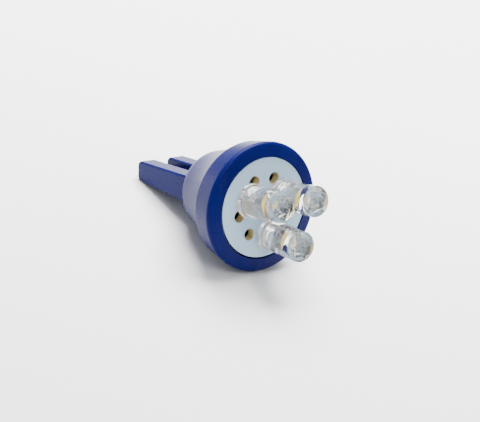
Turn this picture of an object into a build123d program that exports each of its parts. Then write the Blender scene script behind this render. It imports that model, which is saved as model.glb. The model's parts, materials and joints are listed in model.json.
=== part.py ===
from build123d import *
from math import asin, atan2, cos, degrees, hypot, radians, sin, sqrt
import os

# Wedge-base LED bulb: a moulded plastic housing, a round circuit board and three clear LEDs.
#
# The bulb lies on a flat surface, on the rear rim of its head and on the tips of its wedge, with
# the LEDs pointing along +X and a little upwards. Everything is built in the bulb's own frame,
# BULB: its Z is the bulb's axis towards the LEDs, its X runs across the wedge's width and its Y
# across the wedge's thickness. Z = 0 there is the head's front face. Sizes are in millimetres.

os.makedirs("parts", exist_ok=True)

# --- circuit board ---
board_radius = 8.3
board_thickness = 1.6
board_centre = (0.1, 0.05)
vent_hole_radius = 1.0
vent_circle_radius = 5.0
vent_half_angle = 37
led_pattern_angle = 32.5
lead_hole_radius = 0.55
track_thickness = 0.07
track_width = 0.8
pad_radius = 0.9

# --- head: the ring that holds the board ---
board_clearance = 0.2
board_ledge = 0.75
board_depth = 0.2
rim_width = 2.4
face_rise = 0.4
head_length = 4.7
head_taper = 0.8
front_edge_radius = 0.6
rear_edge_radius = 0.3
recess_edge_radius = 0.15

# --- dome behind the head ---
dome_step = 0.35
dome_bulge = 0.35
dome_length = 10.6
dome_rear_radius = 6.3
dome_corner_radius = 3.0
wall = 1.7
end_wall = 1.6
cavity_corner_radius = 2.0

# --- wedge: two side rails joined by a thin web ---
wedge_width = 9.5
wedge_reach = 30.8
rail_width = 3.3
rail_tip_thickness = 3.5
rail_root_thickness = 4.75
rail_tip_radius = 0.9
rail_edge_radius = 0.4
rail_blend_radius = 0.6
web_thickness = 0.9
web_setback = 1.3
web_tip_radius = 0.35

# --- LEDs: clear lens ---
lens_radius = 2.5
lens_length = 8.6
flange_lip = 0.4
flange_thickness = 1.0
flange_flat = 0.05
dimple_depth = 1.4
dimple_land = 0.2
led_standoff = 0.55

# --- LEDs: leads, reflector cup and chip ---
lead_pitch = 2.54
lead_size = 0.5
lead_tail = 1.2
shoulder_level = 1.6
shoulder_rise = 0.6
plate_level = 3.4
plate_inset = 0.1
post_gap = 0.3
post_width = 0.55
post_rise = 0.1
cup_radius = 0.85
cup_height = 1.0
cup_rim_level = 5.4
cup_mouth_radius = 0.65
cup_depth = 0.4
cup_taper = 25
die_size = 0.36
die_thickness = 0.15
bond_wire_radius = 0.03
bond_wire_rise = 0.55

# Each LED: its direction from the board's centre, the gap from that centre to its flange, and how
# far its axis leans along the bulb's X and Y for each millimetre of height.
leds = {
    "right": {"angle": 26.6, "gap": 0.79, "lean": (-0.02, 0.13)},
    "lower": {"angle": -73.2, "gap": 1.96, "lean": (-0.11, 0.05)},
    "left": {"angle": 152.7, "gap": 0.48, "lean": (-0.07, 0.15)},
}

# --- resistor, contact wires and solder ---
wire_radius = 0.3
wire_clearance = 0.02
wire_hole_clearance = 0.12
wire_groove = 0.5
wire_offset = 0.75
wire_bend_radius = 1.0
wire_hook_radius = 0.5
wire_straight = 0.9
resistor_length = 6.3
resistor_cap_radius = 1.2
resistor_waist_radius = 1.0
resistor_cap_length = 1.5
resistor_cap_slope = 0.3
resistor_edge_radius = 0.4
resistor_back_room = 3.1
resistor_lead_stub = 1.0
resistor_pad = (0.6, 3.2)
lower_wire_pad = (-5.9, 1.6)
lower_wire_drop = 1.5
solder_height = 0.9
solder_radius = 0.8
solder_tip_radius = 0.5

# --- radii and levels that follow ---
recess_radius = board_radius + board_clearance
ledge_radius = board_radius - board_ledge
head_radius = recess_radius + rim_width
head_rear_radius = head_radius - head_taper
dome_radius = head_rear_radius - dome_step
dome_end = head_length + dome_length
cavity_end = dome_end - end_wall
cavity_rear_radius = dome_rear_radius - wall
rail_slope = (rail_root_thickness - rail_tip_thickness) / 2 / (wedge_reach - dome_end)
rail_root = cavity_end + end_wall / 4
rail_gap = wedge_width - 2 * rail_width
web_end = wedge_reach - web_setback
board_top = face_rise - board_depth
board_bottom = board_top - board_thickness
track_bottom = board_bottom - track_thickness
flange_radius = lens_radius + flange_lip
seat_level = board_top + led_standoff
half_pitch = lead_pitch / 2
half_lead = lead_size / 2
lead_foot = track_bottom - lead_tail - seat_level
cup_floor = cup_rim_level - cup_depth
cup_bottom = cup_rim_level - cup_height
post_inner = cup_radius + post_gap
post_top = cup_rim_level + post_rise
wire_level = web_thickness / 2 + wire_radius + wire_clearance
resistor_back = resistor_back_room - cavity_end
resistor_front = resistor_back + resistor_length


def led_seat(led):
    """The middle of an LED's underside, as x and y of the bulb's frame."""
    out = flange_radius + led["gap"]
    angle = radians(led["angle"])
    return board_centre[0] + out * cos(angle), board_centre[1] + out * sin(angle)


# --- how the bulb lies: the head's rounded rear rim and the rails' rounded tips both touch z = 0 ---
def rounding_fall(radius, edge_radius, slope):
    """Height of a rounded edge's centre off the axis, at the outer radius its sloping side has there."""
    return radius - edge_radius * hypot(1, slope)


head_slope = head_taper / head_length
rim_back = head_length - rear_edge_radius
rim_fall = rounding_fall(head_radius - rim_back * head_slope, rear_edge_radius, head_slope)
tip_back = wedge_reach - rail_tip_radius
tip_half = rail_tip_thickness / 2 + rail_tip_radius * rail_slope
tip_fall = rounding_fall(tip_half, rail_tip_radius, rail_slope)
tip_run = tip_back - rim_back
tip_drop = rim_fall - tip_fall
rounding_turn = asin((rear_edge_radius - rail_tip_radius) / hypot(tip_run, tip_drop))
tilt = atan2(tip_drop, tip_run) + rounding_turn
axis_height = rim_back * sin(tilt) + rim_fall * cos(tilt) + rear_edge_radius


def lens_reach(led):
    """How far along the part's X an LED's front rim comes from the head's front centre."""
    lean_x, lean_y = led["lean"]
    length = sqrt(lean_x**2 + lean_y**2 + 1)
    y = led_seat(led)[1] + lens_length * lean_y / length
    z = seat_level + lens_length / length
    along = (cos(tilt) - sin(tilt) * lean_y) / length
    return z * cos(tilt) - y * sin(tilt) + lens_radius * sqrt(1 - along**2)


tip_reach = tip_back * cos(tilt) + tip_fall * sin(tilt) + rail_tip_radius
front_reach = max(lens_reach(led) for led in leds.values())
origin_x = (tip_reach - front_reach) / 2

BULB = Plane(origin=(origin_x, 0, axis_height), x_dir=(0, 1, 0), z_dir=(cos(tilt), 0, sin(tilt)))
bulb_axis = Axis(BULB.origin, BULB.z_dir)


def in_bulb(x, y, z):
    """A point of the bulb's frame, in the part's frame."""
    return BULB.from_local_coords((x, y, z))


def station(level, x=0.0, y=0.0):
    """The plane across the axis at a level, centred on a point of the bulb's frame."""
    return Plane(origin=in_bulb(x, y, level), x_dir=BULB.x_dir, z_dir=BULB.z_dir)


def upright(plane):
    """The plane that holds another plane's X and normal: X stays X, and Y runs up the normal."""
    return Plane(origin=plane.origin, x_dir=plane.x_dir, z_dir=-plane.y_dir)


def side_plane(x):
    """The plane along the axis at one x, with X along the axis and Y across the thickness."""
    return Plane(origin=in_bulb(x, 0, 0), x_dir=BULB.z_dir, z_dir=-BULB.x_dir)


def round_corner(sketch, corner, radius):
    """Round the one corner of an open sketch that lies at these sketch coordinates."""
    fillet(sketch.vertices().sort_by_distance(corner)[0], radius)


# ---------------------------------------------------------------- housing
def build_blade(x, width, reach, tip_thickness, slope, tip_radius):
    """A flat blade behind the dome, from x to x - width, thickening towards its root."""
    tip_half = tip_thickness / 2
    root_half = tip_half + slope * (reach - rail_root)
    with BuildPart() as blade:
        with BuildSketch(side_plane(x)) as outline:
            with BuildLine():
                Polyline(
                    (-reach, -tip_half),
                    (-rail_root, -root_half),
                    (-rail_root, root_half),
                    (-reach, tip_half),
                    close=True,
                )
            make_face()
            fillet(outline.vertices().group_by(Axis.X)[0], tip_radius)
        extrude(amount=width)
    return blade


rails = []
for rail_x in (wedge_width / 2, -rail_gap / 2):
    rail = build_blade(
        rail_x, rail_width, wedge_reach, rail_tip_thickness, rail_slope, rail_tip_radius
    )
    with rail:
        flanks = rail.faces().filter_by(Plane(BULB.origin, z_dir=BULB.x_dir))
        root_edges = rail.faces().sort_by(bulb_axis)[-1].edges()
        fillet([edge for edge in flanks.edges() if edge not in root_edges], rail_edge_radius)
    rails.append(rail)

web = build_blade(
    (rail_gap + rail_width) / 2, rail_gap + rail_width, web_end, web_thickness, 0, web_tip_radius
)

def is_root(edge):
    """Whether an edge runs where a rail meets the dome's rounded end."""
    middle = BULB.to_local_coords(edge.position_at(0.5))
    at_end = abs(middle.Z + dome_end) < end_wall / 2 and abs(middle.X) < dome_rear_radius
    return at_end and edge.geom_type != GeomType.CIRCLE


# The profile's plane holds the thickness direction, so that its seam misses the rails.
PROFILE = Plane(origin=BULB.origin, x_dir=BULB.y_dir, z_dir=BULB.x_dir)
with BuildPart() as housing:
    with BuildSketch(PROFILE) as outline:
        with BuildLine():
            Polyline((0, face_rise), (recess_radius, face_rise), (head_radius, 0))
            Polyline((head_radius, 0), (head_rear_radius, -head_length), (dome_radius, -head_length))
            SagittaArc((dome_radius, -head_length), (dome_rear_radius, -dome_end), -dome_bulge)
            Polyline((dome_rear_radius, -dome_end), (0, -dome_end), (0, face_rise))
        make_face()
        round_corner(outline, (head_radius, 0), front_edge_radius)
        round_corner(outline, (head_rear_radius, -head_length), rear_edge_radius)
        round_corner(outline, (dome_rear_radius, -dome_end), dome_corner_radius)
    revolve(axis=bulb_axis)
    for rail in rails:
        add(rail.part)
    # Soft blends where the rails grow out of the dome: every edge there but the dome's own circles.
    fillet([edge for edge in housing.edges() if is_root(edge)], rail_blend_radius)
    add(web.part)
    with BuildSketch(PROFILE) as hollow:
        with BuildLine():
            Polyline(
                (0, face_rise),
                (recess_radius, face_rise),
                (recess_radius, board_bottom),
                (ledge_radius, board_bottom),
                (ledge_radius, -head_length),
                (cavity_rear_radius, -cavity_end),
                (0, -cavity_end),
                close=True,
            )
        make_face()
        round_corner(hollow, (cavity_rear_radius, -cavity_end), cavity_corner_radius)
    revolve(axis=bulb_axis, mode=Mode.SUBTRACT)
    # Holes for the contact wires, one on each side of the web, each with a short groove into it.
    for side in (1, -1):
        with BuildSketch(station(-cavity_end, -side * wire_offset, side * wire_level)):
            Circle(wire_radius + wire_hole_clearance)
        extrude(amount=-end_wall - wire_groove, mode=Mode.SUBTRACT)


# ---------------------------------------------------------------- LEDs
def led_plane(led):
    """The plane of one LED's underside: X points away from the board's centre, Z up its lens."""
    angle = radians(led["angle"])
    lean_x, lean_y = led["lean"]
    outward = BULB.x_dir * cos(angle) + BULB.y_dir * sin(angle)
    up = BULB.x_dir * lean_x + BULB.y_dir * lean_y + BULB.z_dir
    return Plane(origin=in_bulb(*led_seat(led), seat_level), x_dir=outward, z_dir=up)


def build_anvil(plane):
    """The cathode: a square lead that widens into a plate with the reflector cup on top."""
    plate_edge = cup_radius - plate_inset
    with BuildPart() as anvil:
        with BuildSketch(upright(plane)):
            with BuildLine():
                Polyline(
                    (half_pitch - half_lead, lead_foot),
                    (half_pitch + half_lead, lead_foot),
                    (half_pitch + half_lead, shoulder_level + shoulder_rise),
                    (plate_edge, plate_level),
                    (plate_edge, cup_bottom),
                    (-plate_edge, cup_bottom),
                    (-plate_edge, plate_level),
                    (half_pitch - half_lead, shoulder_level),
                    close=True,
                )
            make_face()
        extrude(amount=half_lead, both=True)
        with BuildSketch(plane.offset(cup_bottom)):
            Circle(cup_radius)
        extrude(amount=cup_height)
        with BuildSketch(plane.offset(cup_rim_level)):
            Circle(cup_mouth_radius)
        extrude(amount=-cup_depth, taper=cup_taper, mode=Mode.SUBTRACT)
    return anvil


def build_post(plane):
    """The anode: a square lead that ends in a narrow plate beside the cup."""
    with BuildPart() as post:
        with BuildSketch(upright(plane)):
            with BuildLine():
                Polyline(
                    (-half_pitch - half_lead, lead_foot),
                    (-half_pitch + half_lead, lead_foot),
                    (-half_pitch + half_lead, shoulder_level + shoulder_rise),
                    (-post_inner, plate_level),
                    (-post_inner, post_top),
                    (-post_inner - post_width, post_top),
                    (-post_inner - post_width, shoulder_level + shoulder_rise),
                    (-half_pitch - half_lead, shoulder_level),
                    close=True,
                )
            make_face()
        extrude(amount=half_lead, both=True)
    return post


def build_die(plane):
    """The light-emitting chip on the floor of the cup."""
    with BuildPart() as die:
        with BuildSketch(plane.offset(cup_floor)):
            Rectangle(die_size, die_size)
        extrude(amount=die_thickness)
    return die


def build_bond_wire(plane):
    """The fine gold wire that loops from the chip to the top of the anode."""
    start = (0, cup_floor + die_thickness)
    end = (-post_inner - post_width / 2, post_top)
    peak = (end[0] / 2, cup_rim_level + bond_wire_rise)
    with BuildPart() as bond_wire:
        with BuildLine(upright(plane)) as loop:
            ThreePointArc(start, peak, end)
        with BuildSketch(Plane(origin=loop.line @ 0, z_dir=loop.line % 0)):
            Circle(bond_wire_radius)
        sweep()
    return bond_wire


def build_phosphor(plane, embedded):
    """The yellow filling of the cup, over and around the chip."""
    with BuildPart() as phosphor:
        with BuildSketch(plane.offset(cup_rim_level)):
            Circle(cup_mouth_radius)
        extrude(amount=-cup_depth, taper=cup_taper)
        for piece in embedded:
            add(piece.part, mode=Mode.SUBTRACT)
    return phosphor


def build_lens(plane, embedded):
    """The clear epoxy body: a flanged cylinder with a conical dimple, cast round the leads."""
    with BuildPart() as lens:
        with BuildSketch(upright(plane)):
            with BuildLine():
                Polyline(
                    (0, 0),
                    (flange_radius, 0),
                    (flange_radius, flange_thickness),
                    (lens_radius, flange_thickness),
                    (lens_radius, lens_length),
                    (lens_radius - dimple_land, lens_length),
                    (0, lens_length - dimple_depth),
                    close=True,
                )
            make_face()
        revolve(axis=Axis(plane.origin, plane.z_dir))
        # The flat on the flange marks the cathode's side.
        flat_middle = plane.from_local_coords((lens_radius + flange_flat + flange_lip, 0, 0))
        with BuildSketch(Plane(origin=flat_middle, x_dir=plane.x_dir, z_dir=plane.z_dir)):
            Rectangle(2 * flange_lip, 2 * flange_radius)
        extrude(amount=flange_thickness, mode=Mode.SUBTRACT)
        for piece in embedded:
            add(piece.part, mode=Mode.SUBTRACT)
    return lens


pieces = {"housing": housing}
for name, led in leds.items():
    plane = led_plane(led)
    anvil = build_anvil(plane)
    post = build_post(plane)
    die = build_die(plane)
    bond_wire = build_bond_wire(plane)
    phosphor = build_phosphor(plane, [die, bond_wire])
    pieces["anvil_" + name] = anvil
    pieces["post_" + name] = post
    pieces["die_" + name] = die
    pieces["bond_wire_" + name] = bond_wire
    pieces["phosphor_" + name] = phosphor
    pieces["lens_" + name] = build_lens(plane, [anvil, post, die, phosphor, bond_wire])


# ---------------------------------------------------------------- circuit board
def lead_spot(led, side):
    """Where a lead crosses the board's middle, in the bulb's frame. Side 1 is the cathode."""
    foot = BULB.to_local_coords(led_plane(led).from_local_coords((side * half_pitch, 0, 0)))
    drop = foot.Z - (board_top + board_bottom) / 2
    lean_x, lean_y = led["lean"]
    return foot.X - drop * lean_x, foot.Y - drop * lean_y


cathodes = {name: lead_spot(led, 1) for name, led in leds.items()}
anodes = {name: lead_spot(led, -1) for name, led in leds.items()}
lead_spots = [*cathodes.values(), *anodes.values()]
vent_angles = [
    led_pattern_angle + turn + side * vent_half_angle for turn in (0, 120, 240) for side in (1, -1)
]

with BuildPart() as circuit_board:
    with BuildSketch(station(board_top)):
        with Locations(board_centre):
            Circle(board_radius)
            for angle in vent_angles:
                with PolarLocations(vent_circle_radius, 1, start_angle=angle):
                    Circle(vent_hole_radius, mode=Mode.SUBTRACT)
        with Locations(*lead_spots):
            Circle(lead_hole_radius, mode=Mode.SUBTRACT)
    extrude(amount=-board_thickness)
pieces["circuit_board"] = circuit_board

# The copper tracks on the board's back, each as the points it joins.
tracks = [
    [resistor_pad, anodes["right"]],
    [cathodes["right"], (3.7, -0.5), anodes["lower"]],
    [cathodes["lower"], (-0.3, -5.4), (-0.8, -2.2), anodes["left"]],
    [cathodes["left"], lower_wire_pad],
]
with BuildPart() as copper_tracks:
    with BuildSketch(station(board_bottom)):
        for route in tracks:
            with BuildLine():
                Polyline(*route)
            trace(line_width=track_width)
            with Locations(route[0], route[-1]):
                Circle(pad_radius)
        with Locations(*lead_spots):
            Circle(lead_hole_radius, mode=Mode.SUBTRACT)
    extrude(amount=-track_thickness)
pieces["copper_tracks"] = copper_tracks

# ---------------------------------------------------------------- resistor and contact wires
with BuildPart() as resistor_body:
    with BuildSketch(upright(station(resistor_front, *resistor_pad))) as barrel:
        waist_start = resistor_cap_length + resistor_cap_slope
        with BuildLine():
            Polyline(
                (0, 0),
                (resistor_cap_radius, 0),
                (resistor_cap_radius, -resistor_cap_length),
                (resistor_waist_radius, -waist_start),
                (resistor_waist_radius, waist_start - resistor_length),
                (resistor_cap_radius, resistor_cap_length - resistor_length),
                (resistor_cap_radius, -resistor_length),
                (0, -resistor_length),
                close=True,
            )
        make_face()
        round_corner(barrel, (resistor_cap_radius, 0), resistor_edge_radius)
        round_corner(barrel, (resistor_cap_radius, -resistor_length), resistor_edge_radius)
    revolve(axis=Axis(in_bulb(*resistor_pad, resistor_front), BULB.z_dir))
pieces["resistor_body"] = resistor_body

with BuildPart() as resistor_lead:
    with BuildSketch(station(resistor_front, *resistor_pad)):
        Circle(wire_radius)
    extrude(amount=track_bottom - resistor_front)
pieces["resistor_lead"] = resistor_lead


def build_contact_wire(start, first_bend, side):
    """A tinned wire out through the end wall, along one side of the web and hooked over its end."""
    x = -side * wire_offset
    y = side * wire_level
    hook = -web_end - wire_radius - wire_clearance
    route = [
        start,
        first_bend,
        (x, y, wire_straight - cavity_end),
        (x, y, hook),
        (x, -side * web_thickness / 2, hook),
    ]
    bends = [wire_bend_radius, wire_bend_radius, wire_hook_radius]
    with BuildPart() as wire:
        with BuildLine() as path:
            FilletPolyline(*[in_bulb(*point) for point in route], radius=bends)
        with BuildSketch(Plane(origin=path.line @ 0, z_dir=path.line % 0)):
            Circle(wire_radius)
        sweep()
    return wire


contact_wire_upper = build_contact_wire(
    (*resistor_pad, resistor_back), (*resistor_pad, resistor_back - resistor_lead_stub), 1
)
contact_wire_lower = build_contact_wire(
    (*lower_wire_pad, track_bottom), (*lower_wire_pad, track_bottom - lower_wire_drop), -1
)
pieces["contact_wire_upper"] = contact_wire_upper
pieces["contact_wire_lower"] = contact_wire_lower

solder_taper = degrees(atan2(solder_radius - solder_tip_radius, solder_height))
with BuildPart() as solder_joints:
    for spot in (*lead_spots, resistor_pad, lower_wire_pad):
        with BuildSketch(station(track_bottom, *spot)):
            Circle(solder_radius)
        extrude(amount=-solder_height, taper=solder_taper)
    for name in leds:
        add(pieces["anvil_" + name].part, mode=Mode.SUBTRACT)
        add(pieces["post_" + name].part, mode=Mode.SUBTRACT)
    add(resistor_lead.part, mode=Mode.SUBTRACT)
    add(contact_wire_lower.part, mode=Mode.SUBTRACT)
pieces["solder_joints"] = solder_joints

for name, piece in pieces.items():
    piece.part.label = name
    export_step(piece.part, f"parts/{name}.step")
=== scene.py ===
# %% [markdown]
# # A wedge-base LED bulb, finished for a close view
# The bulb is a small thing, about 40 mm long: a navy plastic moulding, a pale circuit board in its
# mouth and three clear LEDs that stand on the board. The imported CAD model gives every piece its
# place and size. What is left to do here is the finish: a sheen on the plastic, a cut edge on the
# board, and above all the LEDs, which are clear and so show everything that is cast into them.

# %% Load the frame
import json
from math import cos, pi, radians, sin

import bpy
import numpy as np
from mathutils import Matrix, Vector


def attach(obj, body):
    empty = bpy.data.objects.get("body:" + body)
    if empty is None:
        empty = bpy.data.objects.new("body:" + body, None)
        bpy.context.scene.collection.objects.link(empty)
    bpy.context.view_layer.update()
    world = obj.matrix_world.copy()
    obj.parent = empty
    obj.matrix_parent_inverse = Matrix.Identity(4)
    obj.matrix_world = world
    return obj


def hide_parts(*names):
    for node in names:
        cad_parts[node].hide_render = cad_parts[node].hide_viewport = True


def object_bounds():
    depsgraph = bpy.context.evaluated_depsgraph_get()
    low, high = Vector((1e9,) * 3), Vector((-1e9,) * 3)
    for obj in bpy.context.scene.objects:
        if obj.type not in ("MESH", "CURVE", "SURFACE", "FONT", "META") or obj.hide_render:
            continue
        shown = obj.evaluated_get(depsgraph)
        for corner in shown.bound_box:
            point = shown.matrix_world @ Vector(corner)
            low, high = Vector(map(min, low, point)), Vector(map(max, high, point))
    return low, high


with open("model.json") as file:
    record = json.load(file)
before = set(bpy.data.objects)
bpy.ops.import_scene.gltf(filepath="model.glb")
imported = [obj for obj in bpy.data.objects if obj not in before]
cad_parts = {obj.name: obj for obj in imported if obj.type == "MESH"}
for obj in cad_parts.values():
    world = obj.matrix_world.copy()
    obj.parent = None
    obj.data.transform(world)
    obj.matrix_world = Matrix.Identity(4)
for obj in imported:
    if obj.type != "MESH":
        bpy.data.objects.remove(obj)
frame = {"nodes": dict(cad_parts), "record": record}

MM = 0.001
nodes = frame["nodes"]
cad_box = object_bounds()
size_mm = (cad_box[1] - cad_box[0]) / MM
print("CAD nodes:", len(nodes), "size in mm:", [round(v, 2) for v in size_mm])

# %% [markdown]
# ## The bulb's own axes
# The bulb lies tilted, so its length isn't along any axis of the scene. Patterns and lathed pieces
# are much easier to write in the bulb's own directions. They could be typed in as angles, but the
# record already holds the wedge's mount, whose axis points backwards along the bulb. The head's
# front face is then simply the furthest that the housing reaches the other way.

# %% Axes of the bulb
def vertices(node):
    """The corners of a CAD node's mesh, as an array with one row for each."""
    mesh = nodes[node].data
    flat = np.empty(len(mesh.vertices) * 3)
    mesh.vertices.foreach_get("co", flat)
    return flat.reshape(-1, 3)


wedge_mount = {m["name"]: m for m in frame["record"]["mounts"]}["wedge_base"]
wedge_end = np.array(wedge_mount["pos_m"])
bulb_z = -np.array(wedge_mount["axis"])
bulb_x = np.array([0.0, 1.0, 0.0])
bulb_y = np.cross(bulb_z, bulb_x)
FACE_RISE = 0.4 * MM
housing_length = ((vertices("housing") - wedge_end) @ bulb_z).max()
head_centre = wedge_end + bulb_z * (housing_length - FACE_RISE)
bulb_axes = np.stack([bulb_x, bulb_y, bulb_z])
print("head centre in mm:", (head_centre / MM).round(3), "tilt:", bulb_z.round(4))

# %% [markdown]
# ## The LEDs' axes
# Each LED was soldered by hand and leans its own way. A lens is a cylinder, so its wall faces point
# in every direction except along its axis. Adding up each wall face's normal times itself gives a
# small matrix, and the direction in which that sum is least is the axis. The cathode's plate is
# flat, so the same sum is largest square to the plate, which tells how the LED is turned.

# %% Find each LED's axes
def normal_spread(node, near=None):
    """Eigenvectors of the sum of area * normal * normal^T, from the least spread to the most."""
    mesh = nodes[node].data
    normals = np.empty(len(mesh.polygons) * 3)
    areas = np.empty(len(mesh.polygons))
    mesh.polygons.foreach_get("normal", normals)
    mesh.polygons.foreach_get("area", areas)
    normals = normals.reshape(-1, 3)
    if near is not None:
        areas = np.where(np.abs(normals @ near) < 0.3, areas, 0.0)
    return np.linalg.eigh((normals * areas[:, None]).T @ normals)[1].T


def led_frame(name):
    """Origin at the middle of the lens's underside, and rows x (outwards), y and z (up the lens)."""
    z = normal_spread("lens_" + name, near=bulb_z)[0]
    z = z * np.sign(z @ bulb_z)
    y = normal_spread("anvil_" + name)[-1]
    x = np.cross(y, z)
    x = x / np.linalg.norm(x)
    x = x * np.sign((vertices("anvil_" + name).mean(0) - vertices("post_" + name).mean(0)) @ x)
    axes = np.stack([x, np.cross(z, x), z])
    placed = vertices("lens_" + name) @ axes.T
    low, high = placed.min(0), placed.max(0)
    rim = placed[placed[:, 2] > high[2] - 0.01 * MM]
    middle = (rim.min(0) + rim.max(0)) / 2
    origin = np.array([middle[0], middle[1], low[2]]) @ axes
    return origin, axes, (high[2] - low[2]), (rim.max(0) - rim.min(0))[1] / 2


leds = {name: led_frame(name) for name in ("right", "lower", "left")}
for name, (origin, axes, length, radius) in leds.items():
    print(name, "origin", (origin / MM).round(2), "length", round(length / MM, 3))
    print(name, "radius", round(radius / MM, 3))

# %% [markdown]
# ## The camera
# The camera comes first, because it decides which details are worth making. It looks down at the
# bulb from the side of the LEDs and is held at a slant. A long lens keeps the shapes calm.

# %% Camera
CAMERA_AZIMUTH = radians(48.24)
CAMERA_ELEVATION = radians(29.96)
CAMERA_ROLL = radians(14.4)
CAMERA_DISTANCE = 193.6 * MM
AIM_RIGHT = -3.72 * MM
AIM_UP = -0.54 * MM

back = Vector((
    sin(CAMERA_AZIMUTH) * cos(CAMERA_ELEVATION),
    -cos(CAMERA_AZIMUTH) * cos(CAMERA_ELEVATION),
    sin(CAMERA_ELEVATION),
))
turn = back.to_track_quat("Z", "Y").to_matrix() @ Matrix.Rotation(CAMERA_ROLL, 3, "Z")
aim = Vector(head_centre) + turn.col[0] * AIM_RIGHT + turn.col[1] * AIM_UP

camera_data = bpy.data.cameras.new("camera")
camera_data.lens = 90
camera_data.sensor_width = 36
camera_data.clip_start = 0.01
camera = bpy.data.objects.new("camera", camera_data)
camera.matrix_world = Matrix.Translation(aim + back * CAMERA_DISTANCE) @ turn.to_4x4()
bpy.context.scene.collection.objects.link(camera)
bpy.context.scene.camera = camera
print("camera at", [round(v / MM, 1) for v in camera.matrix_world.translation])

# %% [markdown]
# ## Writing shader maths as expressions
# A node tree for "a bit rougher where the noise is high" takes a dozen lines of wiring. Wrapped in
# a small class, a socket can be added and multiplied like a number, and each operator adds the one
# Math node it needs. Everything else goes through one method that makes any kind of node.

# %% Sockets that do arithmetic
class Number:
    """A socket that carries a number; arithmetic on it adds Math nodes to its material."""

    def __init__(self, finish, socket):
        self.finish, self.socket = finish, socket

    def math(self, operation, *others, clamp=False):
        settings = {"operation": operation, "use_clamp": clamp}
        values = dict(enumerate((self, *others)))
        return Number(self.finish, self.finish.node("ShaderNodeMath", settings, values).outputs[0])

    def __add__(self, other):
        return self.math("ADD", other)

    def __mul__(self, other):
        return self.math("MULTIPLY", other)

    def __sub__(self, other):
        return self.math("SUBTRACT", other)

    __radd__ = __add__

    def ramp(self, low, high):
        """0 below low, 1 above high and a straight slope between them."""
        return ((self - low) * (1.0 / (high - low))).math("ADD", 0.0, clamp=True)


class Finish:
    """One material: a Principled shader and the nodes that vary its sockets."""

    def __init__(self, name, colour, roughness=0.5, **constants):
        self.material = bpy.data.materials.new(name)
        self.material.use_nodes = True
        self.tree = self.material.node_tree
        self.shader = self.tree.nodes["Principled BSDF"]
        self.set("Base Color", colour)
        self.set("Roughness", roughness)
        for socket, value in constants.items():
            self.set(socket.replace("_", " "), value)

    def set(self, socket, value, node=None):
        """Give a socket of the shader, or of another node, a constant or a link."""
        target = (node or self.shader).inputs[socket]
        source = value.socket if isinstance(value, Number) else value
        if isinstance(source, bpy.types.NodeSocket):
            self.tree.links.new(source, target)
        elif target.type == "RGBA" and len(source) == 3:
            target.default_value = (*source, 1.0)
        else:
            target.default_value = source

    def node(self, kind, settings=None, sockets=None):
        """Any node: its settings are set first, then its sockets take values or links."""
        made = self.tree.nodes.new(kind)
        for name, value in (settings or {}).items():
            setattr(made, name, value)
        for socket, value in (sockets or {}).items():
            self.set(socket, value, made)
        return made

    def place(self):
        """The point being shaded, in metres, in the scene's own axes."""
        return self.node("ShaderNodeTexCoord").outputs["Object"]

    def along(self, origin, direction):
        """Millimetres from origin along a direction, at the point being shaded."""
        offset = self.node(
            "ShaderNodeVectorMath",
            {"operation": "SUBTRACT"},
            {0: self.place(), 1: tuple(origin)},
        )
        dot = self.node(
            "ShaderNodeVectorMath",
            {"operation": "DOT_PRODUCT"},
            {0: offset.outputs[0], 1: tuple(np.array(direction) / MM)},
        )
        return Number(self, dot.outputs["Value"])

    def noise(self, size_mm, detail=3.0):
        """Smooth noise from 0 to 1 whose lumps are about size_mm across."""
        made = self.node(
            "ShaderNodeTexNoise",
            sockets={"Vector": self.place(), "Scale": 1.0 / (size_mm * MM), "Detail": detail},
        )
        return Number(self, made.outputs["Fac"])

    def mix(self, factor, first, second):
        """The first colour where factor is 0 and the second where it is 1."""
        made = self.node("ShaderNodeMix", {"data_type": "RGBA"}, {0: factor, 6: first, 7: second})
        return made.outputs[2]

    def bump(self, height, depth_mm, strength=1.0):
        """Raise the surface by height times depth_mm, in the shading only."""
        made = self.node(
            "ShaderNodeBump",
            sockets={"Height": height, "Distance": depth_mm * MM, "Strength": strength},
        )
        self.set("Normal", made.outputs["Normal"])


def rgb(red, green, blue):
    """A screen colour from 0 to 255 as the linear colour that shaders use, with alpha 1."""
    screen = np.array([red, green, blue]) / 255.0
    linear = np.where(screen <= 0.04045, screen / 12.92, ((screen + 0.055) / 1.055) ** 2.4)
    return (*(float(v) for v in linear), 1.0)


def dress(finish, *names):
    """Give CAD nodes one finish."""
    for name in names:
        mesh = nodes[name].data
        mesh.materials.clear()
        mesh.materials.append(finish.material)
    print(finish.material.name, "on", ", ".join(names))


# %% [markdown]
# ## The moulded housing
# The housing is injection-moulded in a deep navy plastic with a satin sheen. Such a part is never
# one flat colour: the skin rises and falls a little, and it is paler and duller where it was handled.
# One broad noise could stand for wear on the colour alone. It drives the roughness as well here, so
# the two change together, as they do on a worn skin.

# %% Navy plastic
NAVY_DEEP = rgb(5, 9, 66)
NAVY_WORN = rgb(9, 15, 78)


def make_navy():
    navy = Finish("navy_plastic", NAVY_DEEP, IOR=1.45, Specular_IOR_Level=0.06)
    handled = navy.noise(6.0, detail=4.0)
    fine = navy.noise(0.5, detail=2.0)
    navy.set("Roughness", 0.2 + handled * 0.12 + fine * 0.05)
    navy.set("Base Color", navy.mix(handled.ramp(0.3, 0.75), NAVY_DEEP, NAVY_WORN))
    navy.bump(navy.noise(2.5, detail=1.0), 0.012, strength=0.6)
    return navy


dress(make_navy(), "housing")

# %% [markdown]
# ## Metals and the small parts inside
# Most of these are stamped, drawn or plated metal: the LEDs' lead frame, the gold bond wires, the
# board's copper and the tinned contact wires. They are small or hidden, so each has one plain finish
# of its own, which keeps them apart in colour without any more nodes.

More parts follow.
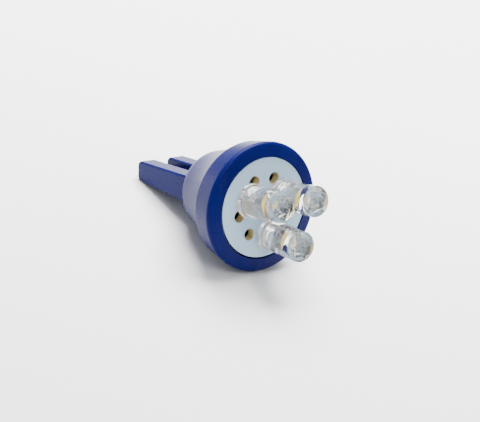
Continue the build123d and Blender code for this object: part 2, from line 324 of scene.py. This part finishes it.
# %% Small finishes
metal = Finish("silvered_frame", rgb(214, 208, 196), 0.25, Metallic=1.0)
dress(metal, *[n for n in nodes if n.startswith(("anvil_", "post_"))])
gold = Finish("gold_wire", rgb(236, 190, 96), 0.2, Metallic=1.0)
dress(gold, *[n for n in nodes if n.startswith("bond_wire_")])
chip = Finish("sapphire_chip", rgb(200, 205, 190), 0.3)
dress(chip, *[n for n in nodes if n.startswith("die_")])
phosphor = Finish("yellow_phosphor", rgb(226, 204, 96), 0.5)
dress(phosphor, *[n for n in nodes if n.startswith("phosphor_")])
copper = Finish("track_copper", rgb(200, 130, 90), 0.35, Metallic=1.0)
dress(copper, "copper_tracks")
tin = Finish("tinned_wire", rgb(200, 200, 196), 0.25, Metallic=1.0)
dress(tin, "contact_wire_upper", "contact_wire_lower", "resistor_lead", "solder_joints")
lacquer = Finish("tan_lacquer", rgb(190, 160, 112), 0.3)
dress(lacquer, "resistor_body")

# %% [markdown]
# ## The circuit board
# The board is a disc routed from a laminate sheet. Its front has a pale film, and its cut edge and the
# walls of its holes show the tan laminate under it. The film could be a disc of its own, but it is far
# thinner than anything that can be seen. So the colour changes with the height along the bulb instead.

# %% Board
LAMINATE = rgb(200, 186, 140)
FILM = rgb(150, 176, 196)
FILM_FROM = 0.13
FILM_TO = 0.15


def make_board():
    board = Finish("pale_board", FILM, 0.35)
    film = board.along(head_centre, bulb_z).ramp(FILM_FROM, FILM_TO)
    board.set("Base Color", board.mix(film, LAMINATE, FILM))
    board.bump(board.noise(0.6), 0.01)
    return board


dress(make_board(), "circuit_board")

# %% [markdown]
# ## Lathed surfaces
# An LED's body is cast in a round mould, so it is a profile turned about an axis. The profile is
# written as a few corners with a radius on each, as a drawing would give them. Points are then added
# along the straight runs, because the next step bends the surface and needs points to move.

# %% A lathe
def rounded(corners, radii, steps=6):
    """A profile through corners, each rounded by an arc of its own radius.

    The arc starts and ends a tangent length t = r * tan(turn / 2) from its corner, and its points
    are centre + r * (cos a, sin a) between the two directions in which the tangent points lie."""
    profile = []
    for i, (corner, radius) in enumerate(zip(corners, radii)):
        corner = np.array(corner, float)
        if radius == 0 or i in (0, len(corners) - 1):
            profile.append(corner[None])
            continue
        before = np.array(corners[i - 1], float) - corner
        after = np.array(corners[i + 1], float) - corner
        before, after = before / np.linalg.norm(before), after / np.linalg.norm(after)
        half = np.arccos(np.clip(before @ after, -1, 1)) / 2
        middle = (before + after) / np.linalg.norm(before + after)
        centre = corner + middle * radius / np.sin(half)
        start = corner + before * radius / np.tan(half) - centre
        end = corner + after * radius / np.tan(half) - centre
        share = np.linspace(0, 1, steps + 1)[:, None]
        spread = np.arccos(np.clip(start @ end / radius**2, -1, 1))
        arc = (np.sin((1 - share) * spread) * start + np.sin(share * spread) * end) / np.sin(spread)
        profile.append(centre + arc)
    return np.concatenate(profile)


def spaced(profile, step):
    """The same profile with points added on its straight runs, no further apart than step."""
    runs = []
    for start, end in zip(profile[:-1], profile[1:]):
        count = max(1, int(np.ceil(np.linalg.norm(end - start) / step)))
        share = np.arange(count)[:, None] / count
        runs.append(start + (end - start) * share)
    return np.concatenate([*runs, profile[-1:]])


def lathe(profile, turns):
    """Turn a profile (radius, height) round its axis: x = r cos a, y = r sin a, z = height.

    The first and last points lie on the axis and become one vertex each, so the skin is closed."""
    angles = np.linspace(0, 2 * pi, turns, endpoint=False)
    rings = profile[1:-1]
    x = rings[:, :1] * np.cos(angles)
    y = rings[:, :1] * np.sin(angles)
    z = np.repeat(rings[:, 1:], turns, axis=1)
    points = np.stack([x, y, z], axis=-1).reshape(-1, 3)
    poles = np.array([[0, 0, profile[0, 1]], [0, 0, profile[-1, 1]]])
    column = np.arange(turns)
    beside = (column + 1) % turns
    row = np.arange(len(rings) - 1)[:, None] * turns
    quads = np.stack([row + column, row + beside, row + turns + beside, row + turns + column], -1)
    last = (len(rings) - 1) * turns
    bottom = np.stack([np.full(turns, len(points)), beside, column], -1)
    top = np.stack([np.full(turns, len(points) + 1), last + column, last + beside], -1)
    faces = [*quads.reshape(-1, 4).tolist(), *bottom.tolist(), *top.tolist()]
    return np.concatenate([points, poles]), faces


def make_piece(name, points, faces, finish, slot, *replaced):
    """A mesh object from points in metres, riding on the bulb in place of some CAD nodes."""
    mesh = bpy.data.meshes.new(name)
    mesh.from_pydata(points.tolist(), [], faces)
    mesh.shade_smooth()
    mesh.materials.append(finish.material)
    piece = bpy.data.objects.new(name, mesh)
    bpy.context.scene.collection.objects.link(piece)
    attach(piece, "root")
    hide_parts(*replaced)
    print(name, "has", len(mesh.polygons), "faces")
    return piece


# %% [markdown]
# ## The clear LEDs
# Each LED is epoxy cast round its lead frame. It has a flange at the foot, with a flat side that marks
# the cathode, and a cone-shaped hollow in its end. It could be a smooth lathed body, but then it would
# look machined. The hollow and the wall get a slight ripple, because the bending of light in a clear
# piece shows the smallest unevenness.

# %% LEDs
LENS_EDGE = 0.12
LENS_STEP = 0.12
FLANGE_HEIGHT = 1.0
FLANGE_LIP = 0.4
FLANGE_FLAT = 0.05
DIMPLE_DEPTH = 1.4
DIMPLE_LAND = 0.2
DIMPLE_RIPPLE = 0.14
WALL_RIPPLE = 0.012
FLANGE_ROUNDING = 0.15
NECK_ROUNDING = 0.1
END_ROUNDING = 0.09
LENS_TURNS = 96

epoxy = Finish("clear_epoxy", (1, 1, 1), 0.03, IOR=1.5, Transmission_Weight=1.0)


def ripple(points, radius, length):
    """Uneven casting. The dimple gains depth d * sin(5a + 4r) * sin(3a - 5r), fading to nothing at
    its rim and at its middle, and the wall moves out by w * sin(7a + 2h) * sin(3h - 2a)."""
    r = np.hypot(points[:, 0], points[:, 1])
    a = np.arctan2(points[:, 1], points[:, 0])
    h = points[:, 2]
    inner = radius - DIMPLE_LAND - LENS_EDGE
    in_dimple = (h > length - DIMPLE_DEPTH - 0.01) & (r < inner)
    fade = np.where(in_dimple, np.sin(np.clip(r / inner, 0, 1) * pi), 0.0)
    points[:, 2] += DIMPLE_RIPPLE * fade * np.sin(5 * a + 4 * r) * np.sin(3 * a - 5 * r)
    on_wall = (h > FLANGE_HEIGHT + LENS_EDGE) & (h < length - LENS_EDGE) & ~in_dimple
    push = np.where(on_wall, WALL_RIPPLE * np.sin(7 * a + 2 * h) * np.sin(3 * h - 2 * a), 0.0)
    points[:, :2] *= (1 + push / np.maximum(r, 0.1))[:, None]
    return points


def make_lens(name):
    """One LED's body, lathed along its own axis, with the cathode's flat cut on its flange."""
    origin, axes, length, radius = leds[name]
    length, radius = length / MM, radius / MM
    flange = radius + FLANGE_LIP
    corners = [
        (0, 0), (flange, 0), (flange, FLANGE_HEIGHT), (radius, FLANGE_HEIGHT),
        (radius, length), (radius - DIMPLE_LAND, length), (0, length - DIMPLE_DEPTH),
    ]
    radii = [0, FLANGE_ROUNDING, FLANGE_ROUNDING, NECK_ROUNDING, END_ROUNDING, END_ROUNDING, 0]
    profile = spaced(rounded(corners, radii), LENS_STEP)
    points, faces = lathe(profile, LENS_TURNS)
    flat = radius + FLANGE_FLAT
    points[:, 0] = np.minimum(points[:, 0], flat)
    points = ripple(points, radius, length)
    points = origin + points * MM @ axes
    return make_piece("clear_lens_" + name, points, faces, epoxy, "clear_epoxy", "lens_" + name)


for name in leds:
    make_lens(name)

# %% [markdown]
# ## The floor
# The bulb lies on a plain pale sheet. A single square would do, but the lamps leave the near part of
# the sheet a little dimmer, so the sheet's colour is painted darker towards the viewer. That is a
# slope of painted shade along the floor.

# %% Floor
# The far colour is the sheet's own pale tone; the near colour is painted shade for the light falling
# off towards the viewer.
FLOOR_FAR = rgb(241, 241, 242)
FLOOR_NEAR_PAINTED_SHADE = rgb(206, 206, 207)
FLOOR_HALF_SIDE = 3.0
FLOOR_CELLS = 8


def make_floor():
    """A square grid: the cell at row r and column c has its first corner at r * (cells + 1) + c."""
    floor_finish = Finish("pale_floor", FLOOR_FAR, 0.8, Specular_IOR_Level=0.1)
    # Painted shade: the colour slopes from the far tone to the darker near tone along the view, where
    # the lamps' light falls off.
    painted_shade_slope = floor_finish.along((0, 0, 0), (back.x, back.y, 0.0)).ramp(-60.0, 75.0)
    floor_finish.set("Base Color", floor_finish.mix(painted_shade_slope, FLOOR_FAR, FLOOR_NEAR_PAINTED_SHADE))
    across = FLOOR_CELLS + 1
    steps = np.linspace(-FLOOR_HALF_SIDE, FLOOR_HALF_SIDE, across)
    x, y = np.meshgrid(steps, steps)
    points = np.stack([x, y, np.zeros_like(x)], -1).reshape(-1, 3)
    cell = np.arange(FLOOR_CELLS)
    corner = (cell[:, None] * across + cell).reshape(-1, 1)
    faces = (corner + [0, 1, across + 1, across]).tolist()
    mesh = bpy.data.meshes.new("floor")
    mesh.from_pydata(points.tolist(), [], faces)
    mesh.materials.append(floor_finish.material)
    floor = bpy.data.objects.new("floor", mesh)
    bpy.context.scene.collection.objects.link(floor)
    print("floor has", len(mesh.polygons), "faces")


make_floor()

# %% [markdown]
# ## The light
# The bulb is lit as on a studio table. A large soft light stands high behind it and gives the
# shadow that falls towards the viewer, and a weak one in front opens the dark side. A pale sky fills
# the rest. One lamp and the sky alone would leave the face of the ring too dark.

# %% Lights and sky
SKY_COLOUR = (0.95, 0.97, 1.0, 1)
SKY_STRENGTH = 0.8


def make_light(name, azimuth, elevation, distance, size, power):
    """A square area light that faces the bulb from a direction."""
    data = bpy.data.lights.new(name, "AREA")
    data.shape = "SQUARE"
    data.size = size
    data.energy = power
    light = bpy.data.objects.new(name, data)
    a, e = radians(azimuth), radians(elevation)
    towards = Vector((sin(a) * cos(e), -cos(a) * cos(e), sin(e)))
    facing = towards.to_track_quat("Z", "Y").to_matrix().to_4x4()
    light.matrix_world = Matrix.Translation(towards * distance) @ facing
    bpy.context.scene.collection.objects.link(light)
    print(name, "light of", power, "W")


world = bpy.data.worlds.new("studio")
world.use_nodes = True
world.node_tree.nodes["Background"].inputs["Color"].default_value = SKY_COLOUR
world.node_tree.nodes["Background"].inputs["Strength"].default_value = SKY_STRENGTH
bpy.context.scene.world = world
make_light("key", -125, 66, 0.55, 0.45, 19.0)
make_light("front", 75, 50, 0.9, 0.3, 3.0)
